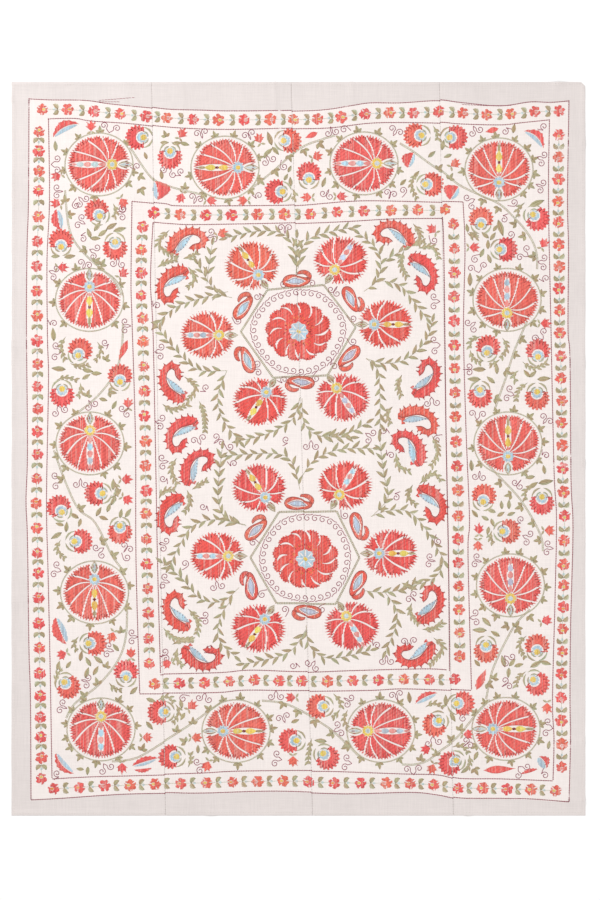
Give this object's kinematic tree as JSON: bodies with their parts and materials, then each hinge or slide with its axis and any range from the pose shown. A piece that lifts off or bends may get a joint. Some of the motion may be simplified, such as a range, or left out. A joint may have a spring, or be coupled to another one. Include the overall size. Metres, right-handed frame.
{
  "type": "suzani embroidered textile",
  "caption": "Large flat embroidered cotton cloth of sewn panels, with hemmed edges, bands of flowers, ringed pomegranate medallions and a centre of rosettes.",
  "frame": {"origin": "middle of the underside, on the surface that the cloth lies on", "axes": "+X across the cloth, +Y up its length along the panels, +Z out of the embroidered face"},
  "size_m": [1.8999, 2.428, 0.0081],
  "materials": {
    "ground_cloth": "plain woven cotton, off-white, matte",
    "red_thread": "silk floss, couched, soft sheen",
    "green_thread": "silk floss, olive, soft sheen",
    "blue_thread": "silk floss, pale blue, soft sheen",
    "yellow_thread": "silk floss, yellow, soft sheen",
    "crimson_line_thread": "silk chain stitch, crimson, soft sheen",
    "sewing_thread": "cotton sewing thread, off-white"
  },
  "bodies": {
    "root": {"panel_left": "ground_cloth", "panel_mid_left": "ground_cloth", "panel_mid_right": "ground_cloth", "panel_right": "ground_cloth"}
  },
  "joints": []
}
